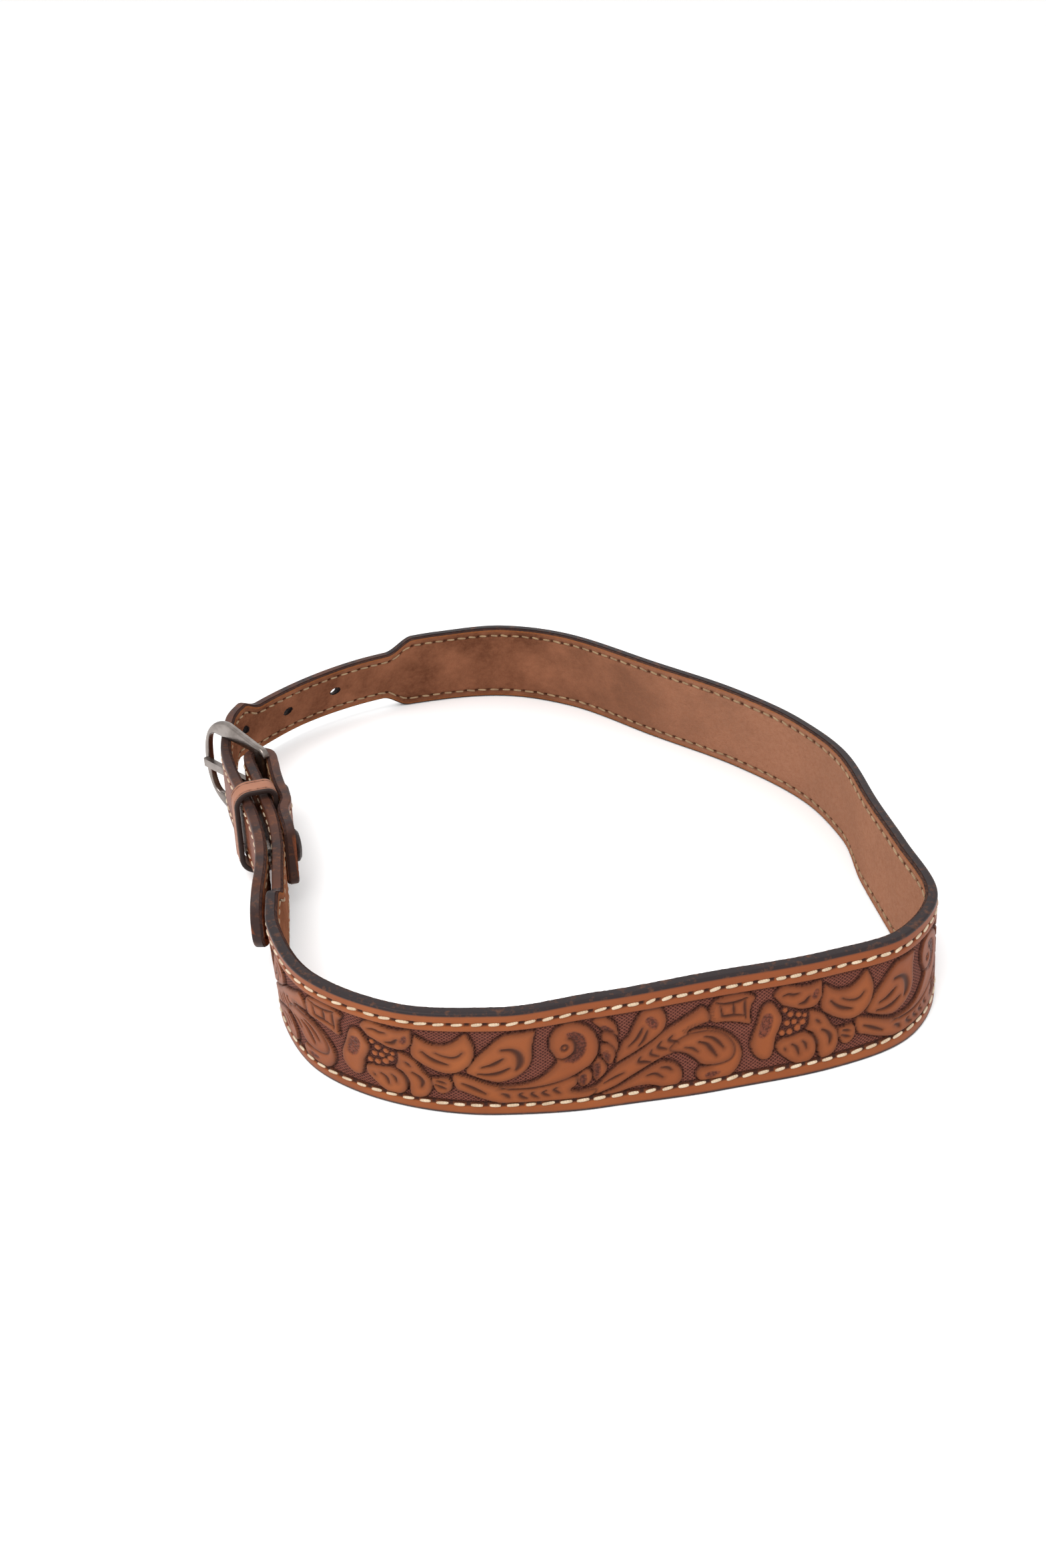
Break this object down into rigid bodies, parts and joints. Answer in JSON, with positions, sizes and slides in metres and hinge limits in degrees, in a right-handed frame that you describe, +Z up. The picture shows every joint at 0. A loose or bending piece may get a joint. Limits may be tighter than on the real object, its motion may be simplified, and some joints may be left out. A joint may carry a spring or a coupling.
{
  "type": "western tooled belt",
  "caption": "Buckled leather belt standing on its edge: tooled strap with suede lining, narrow billet and keeper, horseshoe buckle and two snaps.",
  "frame": {"origin": "on the floor under the centre of the whole belt's box", "axes": "+X to the right in the picture, +Y from the near wall to the far wall, +Z up from the lower edge that the belt stands on"},
  "size_m": [0.2574, 0.2724, 0.0417],
  "materials": {
    "tooled_leather": "tooled and stained leather with dark painted edges",
    "suede": "suede, rough side out",
    "keeper_leather": "plain leather, stitched along both edges",
    "satin_nickel": "satin nickel plate",
    "dark_snap": "darkened metal"
  },
  "bodies": {
    "root": {"strap": "tooled_leather", "lining": "suede", "keeper": "keeper_leather", "buckle_frame": "satin_nickel", "buckle_tongue": "satin_nickel", "snap_cap_1": "dark_snap", "snap_stud_1": "satin_nickel", "snap_cap_2": "dark_snap", "snap_stud_2": "satin_nickel"}
  },
  "joints": []
}
